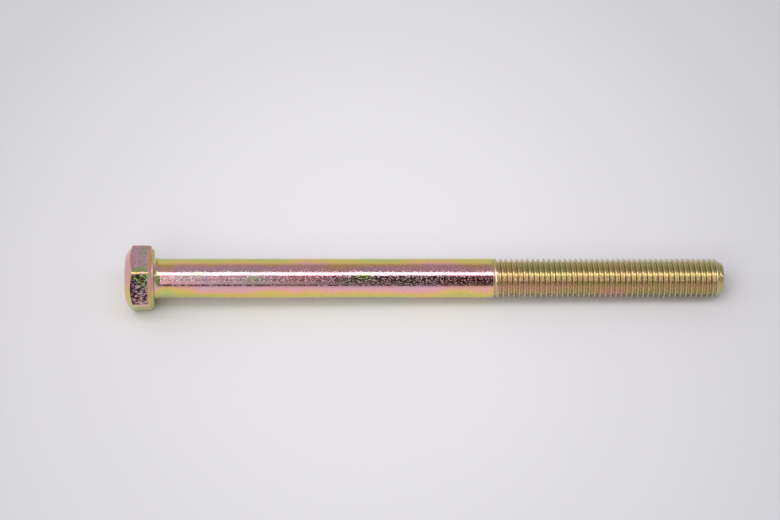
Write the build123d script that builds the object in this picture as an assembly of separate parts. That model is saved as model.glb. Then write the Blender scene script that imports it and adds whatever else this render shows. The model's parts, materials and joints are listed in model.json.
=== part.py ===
from build123d import *
from math import atan, ceil, cos, degrees, radians, tan
import os

# A hexagon head screw with a plain shank, in millimetres, +Z up.
# It is modelled upright on its own axis, with the bearing face of the head at z = 0,
# the head below it and the point at the top. It is then laid down as it comes to rest,
# on one flat of the head and the end of its thread, with the head towards -X.

# Head
across_flats = 17.0
head_height = 8.0            # bearing face to the end of the head
end_flat_diameter = 12.6     # where the flat end would meet the chamfer unrounded
end_chamfer_angle = 33.0     # measured from the end plane
end_chamfer_dome = 0.03      # by which the chamfer bulges outwards along its length
end_rounding_radius = 2.5    # between the end flat and the chamfer
rim_bevel_height = 0.9       # bevel on the hexagon's edges beside the washer face
rim_bevel_depth = 0.3
washer_face_diameter = 16.1
washer_face_height = 0.6
neck_diameter = 12.0         # of the flare where the shank meets the washer face
neck_length = 1.2            # of the flare, before its rounding into the shank
neck_rounding_radius = 2.5

# Shank and point
shank_diameter = 11.0
length_under_head = 158.2
point_length = 2.4           # taper at the point, along the axis
point_diameter = 8.4         # at the end of the taper
point_bevel = 0.3            # on the edge of the end face

# Thread: M11 x 1.5, right-hand. The groove is a plain V from the crests to the root,
# whose flanks take up the rounding of a rolled root.
thread_length = 64.4         # from the point back to where the groove has run out
thread_diameter = 10.9       # over the crests, which a rolled thread leaves below the shank
thread_lead_in = 1.2         # taper from the shank down to the crests
thread_pitch = 1.5
thread_crest_width = 0.22
thread_depth = 0.88
runout_turns = 1.0           # over which the groove rises out of the shank
groove_start_angle = 130.0   # round the axis, where the groove first has its full depth
groove_overcut = 0.15        # by which the cutting form stands proud of the crests
edges_per_turn = 3           # helix edges that make up one turn

# Derived
half_flats = across_flats / 2
half_corners = half_flats / cos(radians(30))
shank_radius = shank_diameter / 2
thread_radius = thread_diameter / 2
root_radius = thread_radius - thread_depth
hexagon_top = -washer_face_height
taper_start = length_under_head - point_length
shank_end = length_under_head - thread_length
groove_start = shank_end + runout_turns * thread_pitch


def turned(*corners):
    """A solid of revolution about Z through (radius, height, rounding) corners."""
    points = [(radius, height) for radius, height, rounding in corners]
    roundings = [rounding for radius, height, rounding in corners]
    outline = FilletPolyline(*points, radius=roundings, close=True)
    return revolve(Plane.XZ * make_face(outline), Axis.Z)


def head_blank():
    """The turned form whose rounded, slightly domed chamfer trims the hexagon's corners."""
    flat_end = (end_flat_diameter / 2, -head_height)
    reach = half_corners + rim_bevel_depth
    rise = (reach - end_flat_diameter / 2) * tan(radians(end_chamfer_angle))
    chamfer_end = (reach, rise - head_height)
    end_centre, top_centre, top_edge = (0, -head_height), (0, hexagon_top), (reach, hexagon_top)
    straight = Polyline(flat_end, end_centre, top_centre, top_edge, chamfer_end)
    outline = make_face([straight, SagittaArc(chamfer_end, flat_end, -end_chamfer_dome)])
    corner = outline.vertices().sort_by_distance(flat_end)[0]
    return revolve(Plane.XZ * fillet(corner, end_rounding_radius), Axis.Z)


def hexagon():
    """The six flats of the head, with a narrow bevel round the side of the shank."""
    outline = RegularPolygon(half_flats, 6, major_radius=False, rotation=30)
    prism = extrude(Pos(0, 0, hexagon_top) * outline, -(head_height - washer_face_height))
    top = prism.faces().sort_by(Axis.Z)[-1]
    return chamfer(top.edges(), rim_bevel_depth, rim_bevel_height, reference=top)


def shank():
    """The washer face, neck, plain shank, thread blank and tapered point."""
    washer_radius = washer_face_diameter / 2
    point_radius = point_diameter / 2
    inside_head = -head_height / 2
    return turned(
        (0, inside_head, 0),
        (washer_radius, inside_head, 0),
        (washer_radius, 0, 0),
        (neck_diameter / 2, 0, 0),
        (shank_radius, neck_length, neck_rounding_radius),
        (shank_radius, shank_end, 0),
        (thread_radius, shank_end + thread_lead_in, 0),
        (thread_radius, taper_start, 0),
        (point_radius, length_under_head - point_bevel, 0),
        (point_radius - point_bevel, length_under_head, 0),
        (0, length_under_head, 0),
    )


def groove_section(height):
    """The V of the thread groove, pointing at the axis, at one height."""
    half_width = (thread_pitch - thread_crest_width) / 2
    outer_half_width = half_width * (thread_depth + groove_overcut) / thread_depth
    outer_radius = thread_radius + groove_overcut
    return Plane.XZ * make_face(
        Polyline(
            (root_radius, height),
            (outer_radius, height + outer_half_width),
            (outer_radius, height - outer_half_width),
            close=True,
        )
    )


def thread_groove():
    """The right-hand groove at full depth, from the run-out to beyond the point."""
    edge_height = thread_pitch / edges_per_turn
    edge_angle = 360 / edges_per_turn
    edge = Edge.make_helix(thread_pitch, edge_height, root_radius)
    edge_count = ceil((length_under_head - groove_start) / edge_height) + edges_per_turn
    edges = [
        Pos(0, 0, groove_start + i * edge_height) * Rot(0, 0, i * edge_angle) * edge
        for i in range(edge_count)
    ]
    return sweep(groove_section(groove_start), path=Wire(edges), is_frenet=True)


def thread_runout():
    """The end of the groove beside the shank, where it winds up to the surface."""
    runout_height = runout_turns * thread_pitch
    rise = thread_depth + groove_overcut
    widening = degrees(atan(rise / runout_height))
    upward = Edge.make_helix(thread_pitch, runout_height, root_radius, angle=widening)
    downward = Pos(0, 0, groove_start) * Rot(180, 0, 0) * upward
    return sweep(groove_section(groove_start), path=downward, is_frenet=True)


def laid_down(screw):
    """The screw at rest on a flat of its head and the end of its thread, centred."""
    head_contact = hexagon_top - rim_bevel_height
    slope = degrees(atan((half_flats - thread_radius) / (taper_start - head_contact)))
    resting = Rot(0, 90 + slope, 0) * screw
    box = resting.bounding_box()
    return Pos(-box.center().X, -box.center().Y, -box.min.Z) * resting


turn_to_start = Rot(0, 0, groove_start_angle)
blank = (hexagon() & head_blank()) + shank()
screw = blank - turn_to_start * thread_groove() - turn_to_start * thread_runout()
os.makedirs("parts", exist_ok=True)
export_step(laid_down(screw), "parts/hex_head_screw.step")
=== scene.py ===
import json
import math

import bmesh
import bpy
import numpy as np
from mathutils import Matrix, Vector


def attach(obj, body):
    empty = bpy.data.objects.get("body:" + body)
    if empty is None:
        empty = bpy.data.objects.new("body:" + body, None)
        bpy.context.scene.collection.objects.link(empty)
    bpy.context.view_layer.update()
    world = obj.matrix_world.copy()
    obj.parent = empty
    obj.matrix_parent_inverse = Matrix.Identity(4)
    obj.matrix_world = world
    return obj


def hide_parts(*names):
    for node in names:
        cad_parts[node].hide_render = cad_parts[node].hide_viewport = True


# A hexagon head screw in iridescent yellow zinc, at rest on a pale floor.
# Lengths are in metres. The screw's own frame has Z along its axis, from the bearing face
# to the point, X straight down from the flat that faces up, and Y towards the back.
# Angles round the screw are counted from X towards Y.
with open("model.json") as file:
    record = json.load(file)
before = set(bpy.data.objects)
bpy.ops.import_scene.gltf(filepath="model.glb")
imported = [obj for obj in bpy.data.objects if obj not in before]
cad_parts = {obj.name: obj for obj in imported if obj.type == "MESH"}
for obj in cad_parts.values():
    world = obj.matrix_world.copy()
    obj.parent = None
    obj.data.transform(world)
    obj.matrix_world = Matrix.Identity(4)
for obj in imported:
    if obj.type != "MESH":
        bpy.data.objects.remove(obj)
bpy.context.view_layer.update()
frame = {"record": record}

NODE = "hex_head_screw"
MM = 0.001

# Head
ACROSS_FLATS = 17.0 * MM
HEAD_HEIGHT = 8.0 * MM
END_FLAT_RADIUS = 6.3 * MM
END_CHAMFER = math.radians(33)
END_ROUNDING = 2.5 * MM
CORNER_ROUNDING = 0.7 * MM      # of the six upright edges
CHAMFER_EDGE_ROUNDING = 0.35 * MM
RIM_BEVEL_HEIGHT = 0.9 * MM
RIM_BEVEL_DEPTH = 0.3 * MM
RIM_ROUNDING = 0.25 * MM
WASHER_FACE_RADIUS = 8.05 * MM
WASHER_FACE_HEIGHT = 0.6 * MM
WASHER_EDGE_ROUNDING = 0.28 * MM
NECK_RADIUS = 6.0 * MM          # of the flare where the shank meets the washer face
NECK_LENGTH = 1.2 * MM
NECK_ROUNDING = 2.5 * MM

# Thread and point
PITCH = 1.5 * MM
CREST_WIDTH = 0.24 * MM
CREST_ROUNDING = 0.1 * MM
FLANK_ANGLE = math.radians(30)
THREAD_DEPTH = 0.88 * MM
GROOVE_START_ANGLE = math.radians(130)   # where the groove first has its full depth
RUNOUT_TURNS = 1.0
LEAD_IN = 1.2 * MM              # taper from the shank down to the crests
POINT_LENGTH = 2.4 * MM
POINT_RADIUS = 4.2 * MM
POINT_BEVEL = 0.3 * MM

# Mesh
ROWS = 96                       # evenly spaced meridians
CORNER_ROWS = (-3.2, -2.2, -1.1, 1.1, 2.2, 3.2)   # extra meridians, degrees from each corner
ARC_STEPS = 5
CREST_COLUMNS = (-0.74, -0.66, -0.565, -0.34, -0.124, -0.085, -0.037,
                 0.037, 0.085, 0.124, 0.34, 0.565, 0.66)   # mm from a crest's middle
PLAIN_TURNS = 4                 # columns begin this many turns before the first full crest
SAME_POINT = 0.002 * MM         # vertices closer than this are one


def mounts():
    """The record's mounts by name."""
    return {mount["name"]: mount for mount in frame["record"]["mounts"]}


def screw_frame():
    """The screw's own frame as a matrix into the world."""
    axis = Vector(mounts()["thread"]["axis"]).normalized()
    flat_normal = Vector(mounts()["spanner_flat"]["axis"]).normalized()
    bearing = Vector(mounts()["bearing_face"]["pos_m"])   # on the face, beside the shank
    bearing.y = mounts()["thread"]["pos_m"][1]
    x_axis = -flat_normal
    y_axis = axis.cross(x_axis)
    turn = Matrix((x_axis, y_axis, axis)).transposed().to_4x4()
    return Matrix.Translation(bearing) @ turn


TO_WORLD = screw_frame()
SHANK_RADIUS = mounts()["plain_shank"]["dims"]["r_mm"] * MM
THREAD_RADIUS = mounts()["thread"]["dims"]["r_mm"] * MM
THREAD_LENGTH = mounts()["thread"]["dims"]["length_mm"] * MM
thread_middle = TO_WORLD.inverted() @ Vector(mounts()["thread"]["pos_m"])
LENGTH = thread_middle.z + THREAD_LENGTH / 2
SHANK_END = LENGTH - THREAD_LENGTH


def rounded(corners):
    """Points along a line of (radius, height, rounding) corners, with arcs at the roundings."""
    points = []
    for i, (r, z, rounding) in enumerate(corners):
        here = np.array((r, z))
        if not rounding:
            points.append(here)
            continue
        back = np.array(corners[i - 1][:2]) - here
        ahead = np.array(corners[i + 1][:2]) - here
        back /= np.linalg.norm(back)
        ahead /= np.linalg.norm(ahead)
        half = math.acos(np.clip(back @ ahead, -1, 1)) / 2
        middle = back + ahead
        middle /= np.linalg.norm(middle)
        centre = here + middle * rounding / math.sin(half)
        start = here + back * rounding / math.tan(half) - centre
        end = here + ahead * rounding / math.tan(half) - centre
        sweep = math.pi - 2 * half
        for step in range(ARC_STEPS + 1):
            t = step / ARC_STEPS
            a = math.sin((1 - t) * sweep) / math.sin(sweep)
            b = math.sin(t * sweep) / math.sin(sweep)
            points.append(centre + a * start + b * end)
    return points


def hexagon_radius(angle):
    """Distance from the axis to the hexagon's side, with its six corners rounded."""
    half_flats = ACROSS_FLATS / 2
    off_flat = abs((angle + math.pi / 6) % (math.pi / 3) - math.pi / 6)
    arc_starts = math.atan((half_flats - CORNER_ROUNDING) * math.tan(math.pi / 6) / half_flats)
    if off_flat <= arc_starts:
        return half_flats / math.cos(off_flat)
    off_corner = math.pi / 6 - off_flat
    centre = (half_flats - CORNER_ROUNDING) / math.cos(math.pi / 6)
    return centre * math.cos(off_corner) + math.sqrt(
        CORNER_ROUNDING**2 - (centre * math.sin(off_corner)) ** 2
    )


def head_meridian(angle):
    """The section of the head and shank at one angle, from the end to the thread."""
    side = hexagon_radius(angle)
    chamfer_edge = -HEAD_HEIGHT + (side - END_FLAT_RADIUS) * math.tan(END_CHAMFER)
    return rounded([
        (0, -HEAD_HEIGHT, 0),
        (END_FLAT_RADIUS, -HEAD_HEIGHT, END_ROUNDING),
        (side, chamfer_edge, CHAMFER_EDGE_ROUNDING),
        (side, -WASHER_FACE_HEIGHT - RIM_BEVEL_HEIGHT, RIM_ROUNDING),
        (side - RIM_BEVEL_DEPTH, -WASHER_FACE_HEIGHT, RIM_ROUNDING),
        (WASHER_FACE_RADIUS, -WASHER_FACE_HEIGHT, WASHER_EDGE_ROUNDING),
        (WASHER_FACE_RADIUS, 0, WASHER_EDGE_ROUNDING),
        (NECK_RADIUS, 0, 0),
        (SHANK_RADIUS, NECK_LENGTH, NECK_ROUNDING),
        (SHANK_RADIUS, SHANK_END - PITCH, 0),
    ])


def groove_depth(offset):
    """Depth below the crest at a distance from the crest's middle, for a rolled thread."""
    slope = 1 / math.tan(FLANK_ANGLE)
    half_crest = CREST_WIDTH / 2
    half_pitch = PITCH / 2
    sharp_root = (half_pitch - half_crest) * slope
    root_radius = sharp_root - THREAD_DEPTH
    root_arc = half_pitch - root_radius * math.cos(FLANK_ANGLE)
    crest_tangent = CREST_ROUNDING * math.tan((math.pi / 2 - FLANK_ANGLE) / 2)
    crest_arc = half_crest - crest_tangent
    crest_arc_end = half_crest + crest_tangent * math.sin(FLANK_ANGLE)
    if offset <= crest_arc:
        return 0.0
    if offset <= crest_arc_end:
        return CREST_ROUNDING - math.sqrt(CREST_ROUNDING**2 - (offset - crest_arc) ** 2)
    if offset <= root_arc:
        return (offset - half_crest) * slope
    return THREAD_DEPTH - root_radius + math.sqrt(root_radius**2 - (half_pitch - offset) ** 2)


def envelope(z):
    """The radius over the crests at a height, from the shank to the end of the point."""
    corners = (
        (0, SHANK_RADIUS),
        (SHANK_END, SHANK_RADIUS),
        (SHANK_END + LEAD_IN, THREAD_RADIUS),
        (LENGTH - POINT_LENGTH, THREAD_RADIUS),
        (LENGTH - POINT_BEVEL, POINT_RADIUS),
        (LENGTH, POINT_RADIUS - POINT_BEVEL),
    )
    return float(np.interp(z, *zip(*corners)))


def thread_radius(z, offset):
    """The radius at a height, where offset is from the middle of the nearest crest."""
    from_root = PITCH / 2 - abs(offset)
    root_height = z + math.copysign(from_root, offset)
    share = (root_height - SHANK_END) / (RUNOUT_TURNS * PITCH)
    share = min(max(share, 0.0), 1.0)
    if share == 0:
        return envelope(z)
    widened = max(PITCH / 2 - from_root / math.sqrt(share), 0)
    under_crest = THREAD_RADIUS - share * groove_depth(widened)
    return min(under_crest if widened > CREST_WIDTH / 2 else envelope(z), envelope(z))


def meridian_angles():
    """Angles of the rows of vertices: evenly spaced, with more at the head's six corners."""
    even = [2 * math.pi * i / ROWS for i in range(ROWS)]
    corners = [math.pi / 6 + i * math.pi / 3 for i in range(6)]
    extra = [c + math.radians(d) for c in corners for d in CORNER_ROWS]
    return sorted(a % (2 * math.pi) for a in even + extra)


def vertex(mesh, r, z, angle):
    return mesh.verts.new((r * math.cos(angle), r * math.sin(angle), z))


def join(mesh, low, high, closed):
    """Quads between two rows of vertices."""
    count = len(low)
    for i in range(count if closed else count - 1):
        j = (i + 1) % count
        mesh.faces.new((low[i], low[j], high[j], high[i]))


def add_head_and_shank(mesh, angles):
    """Rings from the end of the head to the thread, and the head's end face."""
    meridians = [head_meridian(angle)[1:] for angle in angles]
    rings = [
        [vertex(mesh, *meridian[k], angle) for meridian, angle in zip(meridians, angles)]
        for k in range(len(meridians[0]))
    ]
    for low, high in zip(rings, rings[1:]):
        join(mesh, low, high, closed=True)
    mesh.faces.new(reversed(rings[0]))


def thread_columns(mesh, angles):
    """Columns of vertices that climb one pitch to a turn, from the shank to the point."""
    groove_start = SHANK_END + RUNOUT_TURNS * PITCH
    crest_at_zero = groove_start + PITCH / 2 - PITCH * GROOVE_START_ANGLE / (2 * math.pi)
    first_crest = crest_at_zero - PLAIN_TURNS * PITCH
    turns = math.ceil((LENGTH - first_crest) / PITCH) + 1
    columns = []
    for turn in range(turns):
        for offset in CREST_COLUMNS:
            column = []
            for angle in angles:
                height = first_crest + turn * PITCH + offset * MM + PITCH * angle / (2 * math.pi)
                z = min(max(height, SHANK_END - PITCH), LENGTH)
                column.append(vertex(mesh, thread_radius(z, offset * MM), z, angle))
            columns.append(column)
    return columns


def add_thread(mesh, angles):
    """A single helical strip, where each column's end meets the column one turn above."""
    columns = thread_columns(mesh, angles)
    for low, high in zip(columns, columns[1:]):
        join(mesh, low, high, closed=False)
    step = len(CREST_COLUMNS)
    for k in range(len(columns) - step - 1):
        ends = (columns[k][-1], columns[k + step][0], columns[k + 1 + step][0], columns[k + 1][-1])
        mesh.faces.new(ends)


def add_end_face(mesh, angles):
    mesh.faces.new([vertex(mesh, envelope(LENGTH), LENGTH, angle) for angle in angles])


def screw_mesh():
    """One closed skin of the head, shank and thread, in the screw's own frame."""
    angles = meridian_angles()
    mesh = bmesh.new()
    add_head_and_shank(mesh, angles)
    add_thread(mesh, angles)
    add_end_face(mesh, angles)
    bmesh.ops.remove_doubles(mesh, verts=mesh.verts, dist=SAME_POINT)
    bmesh.ops.dissolve_degenerate(mesh, edges=mesh.edges, dist=SAME_POINT)
    loose = [v for v in mesh.verts if not v.link_faces]
    bmesh.ops.delete(mesh, geom=loose, context="VERTS")
    bmesh.ops.recalc_face_normals(mesh, faces=mesh.faces)
    return mesh


# ------------------------------------------------------------------ Nodes

def rgba(colour):
    """A colour, or a grey given as one number, with its alpha."""
    return (*colour, 1) if isinstance(colour, tuple) else (colour, colour, colour, 1)


class Nodes:
    """A node tree in the making. Inputs are sockets, numbers or tuples."""

    def __init__(self, owner):
        owner.use_nodes = True
        self.tree = owner.node_tree

    def put(self, socket, value):
        if isinstance(value, bpy.types.NodeSocket):
            self.tree.links.new(value, socket)
        else:
            socket.default_value = value

    def node(self, kind, inputs=(), **settings):
        made = self.tree.nodes.new(kind)
        for name, value in settings.items():
            setattr(made, name, value)
        for name, value in dict(inputs).items():
            self.put(made.inputs[name], value)
        return made

    def math(self, operation, a, b=0.0, c=0.0):
        return self.node("ShaderNodeMath", {0: a, 1: b, 2: c}, operation=operation).outputs[0]

    def vector(self, operation, a, b):
        made = self.node("ShaderNodeVectorMath", {0: a, 1: b}, operation=operation)
        return made.outputs["Value" if operation == "DOT_PRODUCT" else "Vector"]

    def noise(self, vector, scale, detail=2.0, seed=0.0):
        inputs = {"Vector": vector, "W": seed, "Scale": scale, "Detail": detail}
        return self.node("ShaderNodeTexNoise", inputs, noise_dimensions="4D").outputs["Fac"]

    def smooth_step(self, value, low, high, before=0.0, after=1.0):
        """A number that goes smoothly from before to after as the value goes low to high."""
        inputs = {"Value": value, "From Min": low, "From Max": high,
                  "To Min": before, "To Max": after}
        made = self.node("ShaderNodeMapRange", inputs, interpolation_type="SMOOTHSTEP")
        return made.outputs["Result"]

    def ramp(self, value, stops, low, high):
        """The colour or grey at a value, from (value, colour) stops between low and high."""
        span = high - low
        share = self.math("MULTIPLY_ADD", value, 1 / span, -low / span)
        made = self.node("ShaderNodeValToRGB", {"Fac": share})
        elements = made.color_ramp.elements
        while len(elements) < len(stops):
            elements.new(0.5)
        for element, (stop, colour) in zip(elements, stops):
            element.position = (stop - low) / span
            element.color = rgba(colour)
        return made.outputs["Color"]

    def mix(self, factor, a, b):
        """Two colours mixed. Sockets 6 and 7 take the colours, and output 2 gives one."""
        colours = [rgba(value) if isinstance(value, tuple) else value for value in (a, b)]
        inputs = {0: factor, 6: colours[0], 7: colours[1]}
        return self.node("ShaderNodeMix", inputs, data_type="RGBA").outputs[2]


class Finish(Nodes):
    """The nodes of a new material."""

    def __init__(self, name):
        self.material = bpy.data.materials.new(name)
        super().__init__(self.material)
        self.shader = self.tree.nodes["Principled BSDF"]

    def set(self, name, value):
        self.put(self.shader.inputs[name], value)

    def screw_position(self):
        """Position in the screw's own frame, in millimetres."""
        inputs = {
            "Vector": self.node("ShaderNodeTexCoord").outputs["Object"],
            "Location": TO_WORLD.translation,
            "Rotation": TO_WORLD.to_euler(),
            "Scale": (MM, MM, MM),
        }
        return self.node("ShaderNodeMapping", inputs, vector_type="TEXTURE").outputs["Vector"]

    def along(self, position, way, change):
        """A number that changes along a way: change is (from, to, before, after)."""
        return self.smooth_step(self.vector("DOT_PRODUCT", position, way), *change)

    def bump(self, layers):
        """The normal over several layers of bump, as (height socket, height in metres)."""
        normal = None
        for height, distance in layers:
            inputs = {"Height": height, "Distance": distance}
            if normal:
                inputs["Normal"] = normal
            normal = self.node("ShaderNodeBump", inputs).outputs["Normal"]
        return normal


# ------------------------------------------------------------------ Plating

# Ways in the screw's own frame
# FRONT also centres the painted iridescent sheen: the film's colour bands are painted fixed about
# this way
FRONT = math.radians(39.3)      # the middle of the colour bands, from straight up to the front
CORNER = math.radians(30)       # the head's upper front corner
AXIS = (0, 0, 1)
DOWN = (1, 0, 0)
TO_SHEEN_MIDDLE = (-math.cos(FRONT), -math.sin(FRONT), 0)
TO_NECK_FRONT = (-math.cos(FRONT), -math.sin(FRONT), -1)
TO_CORNER = (-math.cos(CORNER), -math.sin(CORNER), 0)

# Colour of the film by its shift, which is the square of the sine of the angle between the
# surface's normal and TO_SHEEN_MIDDLE, plus what each finish adds by place. This is a painted
# iridescent sheen: the film's bands stay fixed about one way towards the front and do not move
# with the view
FILM = (
    (-0.45, (0.47, 0.60, 0.19)),
    (-0.28, (0.52, 0.57, 0.29)),
    (-0.12, (0.69, 0.50, 0.54)),
    (0.07, (0.83, 0.47, 0.55)),
    (0.29, (0.88, 0.46, 0.48)),
    (0.46, (0.90, 0.50, 0.34)),
    (0.61, (0.86, 0.57, 0.19)),
    (0.81, (0.72, 0.63, 0.16)),
    (1.08, (0.57, 0.61, 0.24)),
)
FILM_LOW, FILM_HIGH = -0.5, 1.2
PATCH_STRETCH = (1, 1, 0.4)     # of the noises' space, which draws them out along the axis
GRAIN_STRETCH = (1, 1, 0.65)
GRAIN_HEIGHT = 0.004 * MM

# The three finishes. Lengths are in millimetres, and heights run from the bearing face.
# shifts: of the film by place, as (way, from, to, shift before, shift after)
# patches: soft patches in the film, as (size, depth in shift, seed)
# veil: an even tone mixed into the film's colour, as (share, colour)
# grains: matt grains, as (noise cells to a mm, noise where they begin, noise of a full grain)
# roughness, grain_roughness: between the grains, and what a full grain adds to that, as one
#     number or by height as (from, to, before, after)
# waves: gentle waves of the surface, as (noise cells to a mm, height)
HEAD_FINISH = dict(
    name="plated_head",
    shifts=(
        (AXIS, -6.5, -2.0, -0.22, -0.55),
        (AXIS, -7.6, -6.2, -0.50, 0.0),
        (TO_CORNER, 8.5, 9.4, 0.0, -0.45),
        # painted highlight: the film is turned pale cream along the rounded upper front corner
        # edge
        (TO_CORNER, 9.5, 9.66, 0.0, 1.4),
        (AXIS, -2.4, -1.3, 0.0, 0.62),
        (DOWN, -7.0, -3.0, 0.0, 0.4),
    ),
    patches=(5.0, 1.2, 3.0),
    veil=(0.15, (0.60, 0.46, 0.38)),
    grains=(2.2, 0.44, 0.60),
    roughness=(-1.8, -1.3, 0.06, 0.34),
    grain_roughness=(-6.0, -4.8, 0.06, 0.30),
    waves=(0.8, 0.05),
)
SHANK_FINISH = dict(
    name="plated_shank",
    shifts=(
        (TO_NECK_FRONT, 3.2, 4.2, 0.0, -0.8),
        (AXIS, 3.5, 7.0, 0.3, 0.0),
        (AXIS, 92.2, 93.6, 0.0, 0.25),
    ),
    patches=(6.0, 1.6, 1.0),
    veil=None,
    grains=(3.0, 0.45, 0.67),
    roughness=0.05,
    grain_roughness=(5, 40, 0.25, 0.28),
    waves=(0.3, 0.02),
)
THREAD_FINISH = dict(
    name="plated_thread",
    shifts=(
        (DOWN, -4.6, -1.5, 0.25, 0.0),
        (AXIS, 154.5, 157.0, 0.0, 0.35),
    ),
    patches=(5.0, 2.6, 2.0),
    veil=(0.62, (0.51, 0.41, 0.272)),
    grains=(2.6, 0.47, 0.62),
    roughness=0.05,
    grain_roughness=0.25,
    waves=(0.3, 0.02),
)


def painted_film_sheen(finish, position, shifts, patches):
    """Painted iridescent sheen: the interference film's colours, painted by how the surface faces
    one fixed way towards the front, and by place.
    """
    normal = finish.node("ShaderNodeTexCoord").outputs["Normal"]
    sheen_middle_in_world = TO_WORLD.to_3x3() @ Vector(TO_SHEEN_MIDDLE)
    facing = finish.vector("DOT_PRODUCT", normal, sheen_middle_in_world)
    shift = finish.math("SUBTRACT", 1, finish.math("POWER", facing, 2))
    for way, *change in shifts:
        shift = finish.math("ADD", shift, finish.along(position, way, change))
    size, depth, seed = patches
    stretched = finish.vector("MULTIPLY", position, PATCH_STRETCH)
    patch = finish.noise(stretched, 1 / size, detail=2.5, seed=seed)
    centred = finish.math("SUBTRACT", patch, 0.5)
    shift = finish.math("MULTIPLY_ADD", centred, depth, shift)
    return finish.ramp(shift, FILM, FILM_LOW, FILM_HIGH)


def plated(name, shifts, patches, veil, grains, roughness, grain_roughness, waves):
    """Yellow zinc: bright metal under a coloured film painted as a fixed iridescent sheen, with
    matt grains.
    """
    finish = Finish(name)
    position = finish.screw_position()

    def by_height(value):
        return finish.along(position, AXIS, value) if isinstance(value, tuple) else value

    film = painted_film_sheen(finish, position, shifts, patches)
    finish.set("Base Color", finish.mix(veil[0], film, veil[1]) if veil else film)
    finish.set("Metallic", 1.0)
    grains_to_mm, grain_begins, full_grain = grains
    stretched = finish.vector("MULTIPLY", position, GRAIN_STRETCH)
    grain = finish.smooth_step(finish.noise(stretched, grains_to_mm), grain_begins, full_grain)
    rough = finish.math("MULTIPLY_ADD", grain, by_height(grain_roughness), by_height(roughness))
    finish.set("Roughness", rough)
    waves_to_mm, wave_height = waves
    wave = finish.noise(position, waves_to_mm, detail=1.0)
    finish.set("Normal", finish.bump([(wave, wave_height * MM), (grain, GRAIN_HEIGHT)]))
    return finish.material


# Each finish with the height, in metres, at which it ends
FINISHES = (
    (HEAD_FINISH, 0.05 * MM),
    (SHANK_FINISH, SHANK_END),
    (THREAD_FINISH, math.inf),
)


def finish_index(height):
    """Which of the finishes the skin has at a height."""
    return next(i for i, (finish, end) in enumerate(FINISHES) if height < end)


def screw():
    """The screw's skin with its three finishes, as one piece."""
    mesh = screw_mesh()
    for face in mesh.faces:
        face.material_index = finish_index(face.calc_center_median().z)
    mesh.transform(TO_WORLD)
    data = bpy.data.meshes.new("screw_skin")
    mesh.to_mesh(data)
    mesh.free()
    data.shade_smooth()
    for finish, end in FINISHES:
        data.materials.append(plated(**finish))
    piece = bpy.data.objects.new("screw_skin", data)
    bpy.context.collection.objects.link(piece)
    weighted = piece.modifiers.new("weighted", "WEIGHTED_NORMAL")
    weighted.keep_sharp = True
    return piece


# ------------------------------------------------------------------ Studio

# The paper's colour is painted lighter near the screw and darker away from it: a painted light
# falloff
PAPER = (0.805, 0.79, 0.825)
PAINTED_FALLOFF_PAPER = (0.58, 0.57, 0.60)
PAINTED_FALLOFF_AT = (0.185, 0.226)       # metres from the brightest place, along X and Y
PAINTED_LIGHT_CENTRE = (-0.012, 0.02, 0)
PAPER_ROUGHNESS = 0.9
FLOOR_SIZE = 4


def floor():
    """Pale paper, painted darker softly away from the screw as a painted light falloff."""
    bpy.ops.mesh.primitive_plane_add(size=FLOOR_SIZE)
    plane = bpy.context.object
    plane.name = "floor"
    paper = Finish("paper")
    place = paper.node("ShaderNodeTexCoord").outputs["Object"]
    off = paper.vector("SUBTRACT", place, PAINTED_LIGHT_CENTRE)
    spread = paper.vector("MULTIPLY", off, (1 / PAINTED_FALLOFF_AT[0], 1 / PAINTED_FALLOFF_AT[1], 0))
    distance = paper.math("SQRT", paper.vector("DOT_PRODUCT", spread, spread))
    paper.set("Base Color", paper.mix(paper.smooth_step(distance, 0, 1), PAPER, PAINTED_FALLOFF_PAPER))
    paper.set("Roughness", PAPER_ROUGHNESS)
    plane.data.materials.append(paper.material)


FOCAL = 10 / 3                  # focal length over the picture's width
PICTURE_WIDTH = 0.21685         # metres across the picture at the screw
SENSOR_WIDTH = 36               # millimetres, as the lens is
ELEVATION = math.radians(50.7)  # over the plane of the flat that faces up
YAW = math.radians(-2.66)       # about the camera's own upright
AIM = Vector((0, 0, 0.0653))    # in the screw's own frame
AIM_RISE = 0.00506              # above the axis in the picture


def camera():
    """The camera looks down on the screw from the front."""
    turned = TO_WORLD.to_3x3()
    flat_normal, back, axis = -turned.col[0], turned.col[1], turned.col[2]
    up = math.cos(ELEVATION) * flat_normal + math.sin(ELEVATION) * back
    toward = math.sin(ELEVATION) * flat_normal - math.cos(ELEVATION) * back
    aim = TO_WORLD @ AIM + up * AIM_RISE
    yaw = Matrix.Rotation(YAW, 3, up)
    right, toward = yaw @ axis, yaw @ toward
    data = bpy.data.cameras.new("camera")
    data.sensor_width = SENSOR_WIDTH
    data.lens = SENSOR_WIDTH * FOCAL
    made = bpy.data.objects.new("camera", data)
    bpy.context.collection.objects.link(made)
    place = Matrix.Translation(aim + toward * PICTURE_WIDTH * FOCAL)
    made.matrix_world = place @ Matrix((right, up, toward)).transposed().to_4x4()
    bpy.context.scene.camera = made


# Lamps: watts, length and width in metres, and the degrees by which each is tipped from
# straight above, towards the front and towards the right
LAMPS = {
    "softbox": (2.1, 1.1, 0.30, 13, 0),
    "left_fill": (2.4, 0.55, 0.58, 42, -24),
}
LAMP_DISTANCE = 1.0


def lamp(name, power, length, width, forward, right):
    """A rectangular lamp that faces the middle of the scene."""
    data = bpy.data.lights.new(name, "AREA")
    data.shape = "RECTANGLE"
    data.size, data.size_y = length, width
    data.energy = power
    made = bpy.data.objects.new(name, data)
    bpy.context.collection.objects.link(made)
    tip_forward = Matrix.Rotation(math.radians(forward), 4, "X")
    tip_right = Matrix.Rotation(math.radians(right), 4, "Y")
    made.matrix_world = tip_forward @ tip_right @ Matrix.Translation((0, 0, LAMP_DISTANCE))


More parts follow.
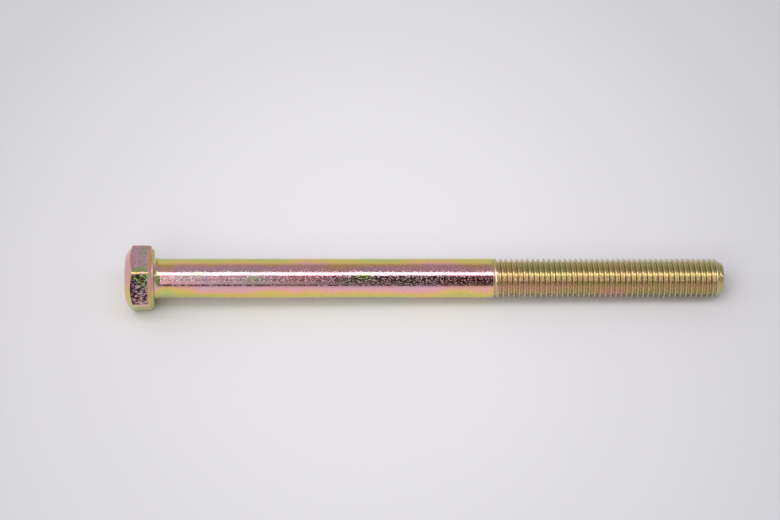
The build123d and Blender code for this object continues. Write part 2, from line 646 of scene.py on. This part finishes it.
# The room's brightness round the screw, by the angle in degrees from straight above towards
# the front: in the middle, and to the left and right
ROOM = (
    (-180, 0.60), (-90, 0.70), (-60, 0.68), (-40, 0.44), (0, 0.43), (20, 0.55), (28, 0.90),
    (44, 0.90), (49, 0.40), (54, 0.90), (73, 0.90), (77, 0.03), (83, 0.03), (86, 0.60),
    (180, 0.60),
)
SIDE_ROOM = (
    (-180, 0.6), (-90, 0.75), (-50, 0.65), (-16, 0.65), (-4, 1.20), (4, 1.90), (17, 1.90),
    (26, 0.70), (78, 0.48), (84, 1.10), (90, 1.10), (180, 0.6),
)
# How much of a direction is side room, by how far it points to either side, up to 1
SIDE_SHARE = ((0.15, 0), (0.35, 1))
# What the side room's brightness is multiplied by, from the left at -1 to the right at 1
SIDE_LEVEL = ((-0.3, 1.2), (0.3, 0.6))
# Darkness of the dark part front right, from the left at -1 to the right at 1, and by angle
DARK_ACROSS = ((-0.05, 0), (-0.03, 0.2), (0, 0.42), (0.05, 0.98), (0.2, 1), (0.28, 0))
DARK_AROUND = ((-60, 0), (-42, 0.25), (20, 0.25), (28, 1), (73, 1), (77, 0))
# Brightness of the small things in the dark part, by a noise
CLUTTER = ((0.55, 0), (0.70, 0.22))
CLUTTER_SCALE = 22
LIGHT_TINT = (0.99, 0.99, 1.0)
DARK_TINT = (1.0, 0.55, 0.34)


def room():
    """A world that is bright behind and beside the screw, and dark front right."""
    world = bpy.data.worlds.new("studio")
    bpy.context.scene.world = world
    studio = Nodes(world)
    way = studio.node("ShaderNodeTexCoord").outputs["Generated"]
    parts = studio.node("ShaderNodeSeparateXYZ", {0: way})
    rightward = parts.outputs["X"]
    forward = studio.math("MULTIPLY", parts.outputs["Y"], -1)
    angle = studio.math("DEGREES", studio.math("ARCTAN2", forward, parts.outputs["Z"]))

    def around(stops):
        return studio.ramp(angle, stops, -180, 180)

    def across(stops):
        return studio.ramp(rightward, stops, -1, 1)

    dark = studio.math("MULTIPLY", around(DARK_AROUND), across(DARK_ACROSS))
    noise_inputs = {"Vector": way, "Scale": CLUTTER_SCALE, "Detail": 1}
    clutter = studio.node("ShaderNodeTexNoise", noise_inputs).outputs["Fac"]
    things = studio.math("MULTIPLY", studio.ramp(clutter, CLUTTER, 0, 1), dark)
    middle = studio.math("MULTIPLY_ADD", around(ROOM), studio.math("SUBTRACT", 1, dark), things)
    side = studio.math("MULTIPLY", around(SIDE_ROOM), across(SIDE_LEVEL))
    sideways = studio.ramp(studio.math("ABSOLUTE", rightward), SIDE_SHARE, 0, 1)
    side_part = studio.math("MULTIPLY", side, sideways)
    middle_share = studio.math("SUBTRACT", 1, sideways)
    brightness = studio.math("MULTIPLY_ADD", middle, middle_share, side_part)
    tint = studio.mix(studio.math("POWER", dark, 3), LIGHT_TINT, DARK_TINT)
    background = studio.tree.nodes["Background"]
    studio.put(background.inputs["Strength"], brightness)
    studio.put(background.inputs["Color"], tint)


piece = screw()
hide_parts(NODE)
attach(piece, "root")
floor()
camera()
for name, settings in LAMPS.items():
    lamp(name, *settings)
room()
bpy.context.scene.view_settings.view_transform = "Standard"
